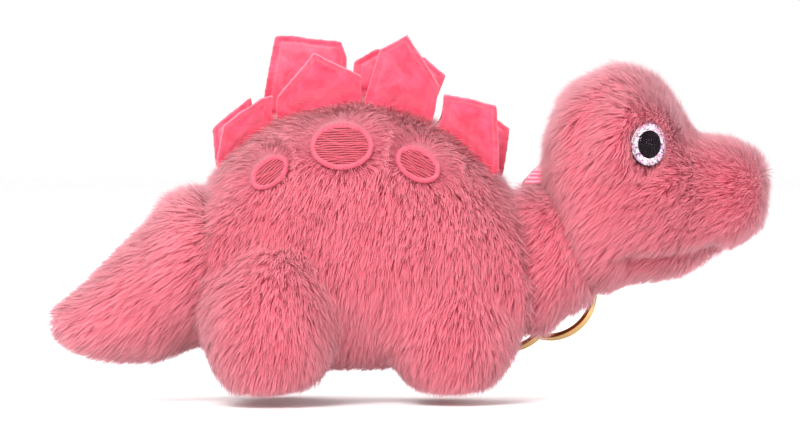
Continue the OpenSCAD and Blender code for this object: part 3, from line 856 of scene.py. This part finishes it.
        # The mouth's corners, as shares of the head's length and height
        mouth = [(box_low.x + along * span, low.z + up * tall) for along, up in
                 ((0.37, 0.17), (0.55, 0.18), (0.69, 0.205), (0.76, 0.22), (0.83, 0.18))]
        fold = bell(path_distance(places[:, [0, 2]], mouth), 2.0 * MM) * (np.abs(places[:, 1]) > MM)
        chin = bell(np.hypot(places[:, 0] - (box_low.x + 0.86 * span), places[:, 2] - (low.z + 0.17 * tall)),
                    3 * MM)
        places -= normals * ((fold + 0.9 * chin) * self.mouth_deep)[:, None]
        # Each eye sits in a level seat of pile
        for side in Side:
            depth, away, axis = self.round_eye(places, side)
            r = np.linalg.norm(away, axis=1)
            seat = (1 - step(r, 7.5 * MM, 14 * MM)) * (np.abs(depth) < 14 * MM)
            places += np.outer(seat * (-self.eye_seat - depth), axis)
        set_places(piece.data, places)
        return fold

    def round_eye(self, places: np.ndarray, side: Side) -> tuple[np.ndarray, np.ndarray, Vector]:
        """Measures places from an eye.

        Args:
            places: one row a place.
            side: the eye's side.

        Returns:
            Heights along the eye's axis, the ways out from that axis, and the axis.
        """
        middle, axis = self.eye(side)
        gap = places - np.array(middle)
        depth = gap @ np.array(axis)
        return depth, gap - depth[:, None] * np.array(axis), axis

    def head(self) -> None:
        """Builds the head and neck's skin: nap back from the snout, brushed off the eyes in front."""
        piece = self.skin("head_plush", ["neck_stuffing", "head_stuffing"], 6)
        self.shape_neck(piece)
        fold = self.shape_face(piece)
        places, _ = vertex_arrays(piece.data)
        box_low, box_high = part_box("head_panel_right")
        span = box_high.x - box_low.x
        x = places[:, 0]
        back = step(x, box_low.x + 0.1 * span, box_high.x - 0.25 * span)
        flow = np.stack([-0.55 - 0.7 * back, 0 * x, -0.75 + 0.5 * back], axis=1)
        pile = 0.92 - 0.25 * step(x, box_low.x + 0.6 * span, box_high.x)
        pile *= 1 - 0.35 * fold
        cover = np.ones(len(places))
        for side in Side:
            depth, away, _ = self.round_eye(places, side)
            r = np.linalg.norm(away, axis=1)
            level = np.abs(depth) < 12 * MM
            near = (1 - step(r, 5 * MM, 8 * MM)) * level
            # Brushed off the eye in front and over its rim behind
            part = 2.1 * step(away[:, 0], -3 * MM, 3 * MM) - 0.5
            flow += away / np.maximum(r, 1e-6)[:, None] * (near * part)[:, None]
            pile *= 1 - 0.25 * near
            cover *= np.where((r < 5.4 * MM) & level, 0.0, 1.0)
        self.nap(piece, flow, pile, cover)
        self.pile.grow(piece, 31, length=self.head_pile)
        pivot = self.joint_place("neck_bend")
        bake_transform(piece)
        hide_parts("head_panel_right", "head_panel_left", "chin_gusset", "head_stuffing",
                    "neck_panel_right", "neck_panel_left", "neck_stuffing")

    @staticmethod
    def joint_place(name: str) -> Vector:
        """The place of a joint's pivot, in metres."""
        return Vector(next(j for j in frame["joints"] if j["name"] == name)["pos_m"])

    @staticmethod
    def eye(side: Side) -> tuple[Vector, Vector]:
        """The middle of an eye's face and its axis outwards."""
        outer = np.mean([v.co for v in frame["nodes"][f"eye_dome_{side.word}"].data.vertices], axis=0)
        inner = np.mean([v.co for v in frame["nodes"][f"eye_washer_{side.word}"].data.vertices], axis=0)
        axis = Vector(outer - inner).normalized()
        return Vector(outer), axis

    def build(self) -> None:
        """Builds the three skins."""
        self.torso()
        self.tail()
        self.head()
        self.pile.finish()


# ---- Back plates ----


@dataclass
class Plates:
    """The two rows of velour plates: turned flaps with a ridge of seam inside their edge."""

    velour: bpy.types.Material
    voxel: float = 0.5 * MM
    ridge_at: float = 1.7 * MM
    groove: float = 0.45 * MM
    pillow: float = 0.55 * MM
    curl: float = 1.6 * MM
    allowance: float = 3.5 * MM

    def plate(self, side: Side, number: int) -> None:
        """Builds one plate.

        Args:
            side: the row it is in.
            number: its place from the tail, from 1.
        """
        word = f"plate_{side.word}_{number}"
        layers = [f"{word}_outer", f"{word}_inner"]
        bm = cad_copy(layers)
        hull = bmesh.ops.convex_hull(bm, input=bm.verts)
        inside = [g for g in hull["geom_interior"] + hull["geom_unused"] if isinstance(g, bmesh.types.BMVert)]
        bmesh.ops.delete(bm, geom=inside, context="VERTS")
        old = [f for f in bm.faces if f not in set(hull["geom"])]
        bmesh.ops.delete(bm, geom=old, context="FACES")
        bmesh.ops.recalc_face_normals(bm, faces=bm.faces)
        piece = remeshed(new_object(word, bm), self.voxel, 4)
        places, normals = vertex_arrays(piece.data)
        middle = places.mean(axis=0)
        _, _, axes = np.linalg.svd(places - middle, full_matrices=False)
        across = axes[2] * np.sign(axes[2][1] * side.value)
        facing = normals @ across
        rim = KDTree(int(np.sum(np.abs(facing) < 0.5)))
        for k in np.nonzero(np.abs(facing) < 0.5)[0]:
            rim.insert(places[k], int(k))
        rim.balance()
        inset = np.array([rim.find(p)[2] for p in places])
        joint = next(j for j in frame["joints"] if j["name"] == word + "_flop")
        seam = np.array(joint["axis"])
        height = np.cross(across, seam)
        height *= np.sign(height[2])
        up = (places - np.array(joint["pos_m"])) @ height
        along = (places - middle) @ seam
        top = up.max()
        thick = self.pillow * step(inset, self.ridge_at, 3.2 * self.ridge_at)
        thick -= self.groove * bell(inset - self.ridge_at, 0.45 * MM)
        # The flap bows along its seam, curls at its tip and is creased where it was turned
        phase = 1.7 * number + 0.6 * side.value
        bow = self.curl * (np.clip(up / top, 0, 1) ** 2 - 0.35 * np.cos(along / (6 * MM) + phase))
        crease = -0.9 * MM * bell(along - 3 * MM * math.sin(phase), 1.5 * MM) * np.clip(up / top, 0, 1)
        moved = places + np.outer(bow + crease, across) + np.outer(thick * np.sign(facing) * np.abs(facing), across)
        # The seam allowance goes down into the pile
        moved -= np.outer(self.allowance * (1 - step(up, 0.0, 2.5 * MM)), height)
        set_places(piece.data, moved)
        shade_smooth(piece.data)
        dress(piece.data, self.velour)
        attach(piece, word)
        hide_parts(*layers)

    def build(self) -> None:
        """Builds both rows."""
        for side in Side:
            for number in range(1, 5):
                self.plate(side, number)


# ---- Embroidery ----


@dataclass
class Embroidery:
    """Satin-stitched spots: rows of fill stitches inside a border of short radial ones."""

    fill: bpy.types.Material
    border: bpy.types.Material
    sunk: float = 2.0 * MM
    thread: float = 0.27 * MM
    pitch: float = 0.62 * MM
    border_width: float = 1.1 * MM

    def surface(self, side: Side) -> Callable[[float, float, float], Vector]:
        """Makes a function that puts a place on the flank a little above or below its cloth."""
        mesh = frame["nodes"][f"torso_panel_{side.word}"].data
        tree = BVHTree.FromPolygons([v.co for v in mesh.vertices], [p.vertices for p in mesh.polygons])

        def place(x: float, z: float, lift: float) -> Vector:
            """Finds the flank at x and z and adds a lift along its normal."""
            hit, normal, _, _ = tree.ray_cast(Vector((x, side.value * 0.1, z)), Vector((0, -side.value, 0)))
            if hit is None:
                return Vector((x, side.value * 0.02, z))
            if normal.y * side.value < 0:
                normal = -normal
            return hit + normal * (lift - self.sunk)

        return place

    def stitches(self, name: str, lines: Sequence[Sequence[Vector]], radius: float,
                 material: bpy.types.Material) -> bpy.types.Object:
        """Makes threads along lines.

        Args:
            name: the piece's name.
            lines: the points of each stitch.
            radius: half a thread's width.
            material: the thread's material.

        Returns:
            The piece, a mesh.
        """
        curve = bpy.data.curves.new(name, "CURVE")
        curve.dimensions = "3D"
        curve.bevel_depth = radius
        curve.bevel_resolution = 1
        curve.use_fill_caps = True
        for line in lines:
            spline = curve.splines.new("POLY")
            spline.points.add(len(line) - 1)
            spline.points.foreach_set("co", np.array([[*p, 1.0] for p in line]).ravel())
        laid = bpy.data.objects.new(name + "_curve", curve)
        bpy.context.scene.collection.objects.link(laid)
        shape = laid.evaluated_get(bpy.context.evaluated_depsgraph_get())
        mesh = bpy.data.meshes.new_from_object(shape)
        bpy.data.objects.remove(laid)
        piece = bpy.data.objects.new(name, mesh)
        bpy.context.scene.collection.objects.link(piece)
        dress(mesh, material)
        shade_smooth(mesh)
        return piece

    def spot(self, spot: Spot, side: Side, place: Callable[[float, float, float], Vector]) -> None:
        """Builds one spot.

        Args:
            spot: its place and size.
            side: the flank it is on.
            place: puts a place on the cloth.
        """
        c, s = math.cos(spot.slope), math.sin(spot.slope)

        def at(u: float, v: float, lift: float) -> Vector:
            """A place from metres along and across the spot."""
            return place(spot.x + u * c - v * s, spot.z + u * s + v * c, lift)

        rows = []
        count = int(2 * spot.high / self.pitch)
        for k in range(count + 1):
            v = -spot.high + 2 * spot.high * k / count
            half = spot.long * math.sqrt(max(1 - (v / spot.high) ** 2, 0)) * 0.97
            if half < 0.6 * MM:
                continue
            # Each row is two or three stitches that dip where they enter the cloth
            steps = 15
            row = []
            for i in range(steps + 1):
                u = -half + 2 * half * i / steps
                dip = abs(math.sin(math.pi * (u / (4.2 * MM) + 0.37 * k)))
                row.append(at(u, v + 0.1 * MM * math.sin(7 * u / spot.long + k),
                              0.35 * MM * dip ** 0.5))
            rows.append(row)
        fill = self.stitches(f"spot_{spot.name}_{side.word}_fill", rows, self.thread, self.fill)
        ring = []
        around = int(2 * math.pi * math.sqrt((spot.long ** 2 + spot.high ** 2) / 2) / (0.42 * MM))
        for k in range(around):
            t = 2 * math.pi * k / around
            out = Vector((math.cos(t) / spot.long, math.sin(t) / spot.high)).normalized()
            u, v = spot.long * math.cos(t), spot.high * math.sin(t)
            ring.append([at(u + out.x * d * self.border_width / 2, v + out.y * d * self.border_width / 2,
                            0.95 * MM * math.sqrt(1 - 0.9 * d * d)) for d in (-1, -0.5, 0, 0.5, 1)])
        border = self.stitches(f"spot_{spot.name}_{side.word}_border", ring, 0.24 * MM, self.border)
        for piece in (fill, border):
            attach(piece, "torso")
        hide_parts(f"spot_{spot.name}_{side.word}")

    def build(self) -> None:
        """Builds the spots of both flanks."""
        for side in Side:
            place = self.surface(side)
            for spot in spots():
                self.spot(spot, side, place)


# ---- Eyes, ribbon and rings ----


@dataclass
class Eyes:
    """The safety eyes keep their CAD shapes and get their finishes here."""

    def build(self) -> None:
        """Dresses both eyes' nodes."""
        finishes = {
            "dome": ClearDome(),
            "iris": Glitter(),
            "pupil": Plastic("black_eye_plastic", "#120810", roughness=0.15, gloss=0.1),
            "shank": Plastic("black_shank_plastic", "#1a1216", roughness=0.3),
            "washer": Plastic("white_washer_plastic", "#ecebe6", roughness=0.4),
        }
        for part, finish in finishes.items():
            material = finish.make()
            for side in Side:
                mesh = frame["nodes"][f"eye_{part}_{side.word}"].data
                dress(mesh, material)
                if part == "dome":
                    shade_smooth(mesh)


@dataclass
class Ribbon:
    """The grosgrain loop: one folded strap that follows the CAD ribbon's run."""

    material: bpy.types.Material
    lean: float = 0.8

    def build(self) -> None:
        """Builds the loop from the CAD ribbon's own outline, with its edges rounded."""
        low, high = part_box("ribbon_loop")
        bm = cad_copy(["ribbon_loop"])
        bmesh.ops.dissolve_limit(bm, angle_limit=math.radians(1), verts=bm.verts, edges=bm.edges)
        rims = [e for e in bm.edges if len(e.link_faces) == 2 and e.calc_face_angle(0) > 1.2
                and abs((e.verts[0].co - e.verts[1].co).normalized().x) < 0.5]
        bmesh.ops.bevel(bm, geom=rims, offset=0.12 * MM, segments=2, affect="EDGES", profile=0.5, material=-1)
        bmesh.ops.triangulate(bm, faces=bm.faces)
        # The arch over the nape leans to the head
        root = Skins.joint_place("ribbon_lift")
        for v in bm.verts:
            v.co.x += self.lean * max(v.co.z - root.z, 0)
        layer = bm.loops.layers.uv.new("Run")
        middle = Vector((0, (low.y + high.y) / 2, (low.z + high.z) / 2))
        for face in bm.faces:
            for loop in face.loops:
                co = loop.vert.co
                # A rib every 0.8 mm along the strap, which runs mostly down and across
                loop[layer].uv = ((co.x - low.x) / (high.x - low.x), (co.y + (high.z - co.z) - middle.y) / 0.056)
        piece = new_object("ribbon", bm)
        dress(piece.data, self.material)
        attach(piece, "ribbon")
        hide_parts("ribbon_loop")


@dataclass
class SplitRings:
    """Double-coil split rings of flat spring wire."""

    gold: bpy.types.Material
    outer: float = 12.5 * MM
    wall: float = 1.5 * MM
    coil: float = 1.45 * MM
    tilt: float = math.radians(22)
    yaw: float = math.radians(19)

    def ring(self, name: str, turn: float) -> None:
        """Builds one ring.

        Args:
            name: the ring's body.
            turn: where its wire's end lies, in radians.
        """
        low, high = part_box("split_" + name)
        middle = (low + high) / 2
        bm = bmesh.new()
        profile = [bm.verts.new((self.outer - self.wall + self.wall * i, 0, self.coil * k))
                   for i, k in ((0, 0), (1, 0), (1, 1), (0, 1))]
        face = bm.faces.new(profile)
        bmesh.ops.bevel(bm, geom=list(face.verts), offset=0.38 * MM, segments=3, affect="VERTICES",
                        profile=0.5, material=-1)
        steps = 144
        bmesh.ops.spin(bm, geom=bm.faces[:] + bm.edges[:] + bm.verts[:], cent=(0, 0, 0), axis=(0, 0, 1),
                       dvec=(0, 0, self.coil / 72 * 1.02), angle=math.radians(715), steps=steps,
                       use_merge=False)
        bmesh.ops.holes_fill(bm, edges=bm.edges, sides=0)
        bmesh.ops.recalc_face_normals(bm, faces=bm.faces)
        bmesh.ops.translate(bm, verts=bm.verts, vec=(0, 0, -1.5 * self.coil))
        place = (Matrix.Translation(middle) @ Matrix.Rotation(-self.yaw, 4, "Z")
                 @ Matrix.Rotation(math.pi / 2 - self.tilt, 4, "X") @ Matrix.Rotation(turn, 4, "Z"))
        bmesh.ops.transform(bm, verts=bm.verts, matrix=place)
        piece = new_object(name + "_coils", bm)
        shade_smooth(piece.data)
        piece.data.materials.append(self.gold)
        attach(piece, name)
        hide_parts("split_" + name)

    def build(self) -> None:
        """Builds both rings."""
        self.ring("ring_rear", 2.0)
        self.ring("ring_front", 0.7)


# ---- Studio ----


@dataclass
class Studio:
    """A white floor under soft light, and a long-lens camera square to the animal's right side."""

    distance: float = 1.5
    height: float = 52.5 * MM
    across: float = -1.65 * MM
    view_width: float = 0.220
    elevation: float = math.radians(1.5)

    def camera(self) -> None:
        """Adds the camera."""
        data = bpy.data.cameras.new("camera")
        data.sensor_width = 36
        data.lens = 36 * self.distance / self.view_width
        camera = bpy.data.objects.new("camera", data)
        bpy.context.scene.collection.objects.link(camera)
        camera.location = (self.across, -self.distance * math.cos(self.elevation),
                           self.height + self.distance * math.sin(self.elevation))
        camera.rotation_euler = (math.pi / 2 - self.elevation, 0, 0)
        bpy.context.scene.camera = camera

    def softbox(self, name: str, place: tuple[float, float, float], size: float, power: float) -> None:
        """Adds a square light that faces the animal.

        Args:
            name: the light's name.
            place: where it is, in metres.
            size: the length of its side.
            power: its power in watts.
        """
        data = bpy.data.lights.new(name, "AREA")
        data.size = size
        data.energy = power
        light = bpy.data.objects.new(name, data)
        bpy.context.scene.collection.objects.link(light)
        light.location = place
        light.rotation_euler = (Vector((0, 0, 0.045)) - Vector(place)).to_track_quat("-Z", "Y").to_euler()

    def build(self) -> None:
        """Adds the floor, the lights, the surroundings and the camera."""
        bm = bmesh.new()
        bmesh.ops.create_grid(bm, x_segments=8, y_segments=8, size=3)
        floor = new_object("floor", bm)
        material, tree, shader, _ = new_material("white_paper_floor")
        place = add_node(tree, "ShaderNodeTexCoord").outputs["Object"]
        fibre = add_node(tree, "ShaderNodeTexNoise", {"Vector": place, "Scale": 1 / (2 * MM)})
        colour = add_ramp(tree, fibre.outputs["Fac"], [(0.0, "#f6f6f6"), (1.0, "#fbfbfb")])
        tree.links.new(colour, shader.inputs["Base Color"])
        shader.inputs["Roughness"].default_value = 0.9
        floor.data.materials.append(material)
        world = bpy.data.worlds.new("white")
        world.use_nodes = True
        back = next(n for n in world.node_tree.nodes if n.type == "BACKGROUND")
        back.inputs[0].default_value = (1, 1, 1, 1)
        back.inputs[1].default_value = 1.0
        bpy.context.scene.world = world
        bpy.context.scene.view_settings.view_transform = "Standard"
        self.softbox("key", (-0.4, -1.2, 0.8), 0.7, 29.0)
        self.softbox("fill", (0.8, -1.2, 0.3), 0.9, 12.0)
        self.softbox("top", (0.1, 0.1, 1.3), 0.9, 7.0)
        self.softbox("back", (-0.3, 1.3, 0.6), 0.9, 9.0)
        self.camera()


def main() -> None:
    """Builds the charm's pieces in order."""
    logging.basicConfig(level=logging.INFO, format="%(message)s")
    Studio().build()
    LOG.info("studio")
    Skins(Pile(PilePlush().make())).build()
    LOG.info("skins")
    Plates(Velour().make()).build()
    LOG.info("plates")
    Embroidery(Thread("rayon_thread_fill", "#9e2038").make(), Thread("rayon_thread_border", "#b83c54").make()).build()
    LOG.info("embroidery")
    Eyes().build()
    Ribbon(Grosgrain().make()).build()
    SplitRings(GoldPlate().make()).build()
    LOG.info("eyes, ribbon and rings")


if __name__ == "__main__":
    main()
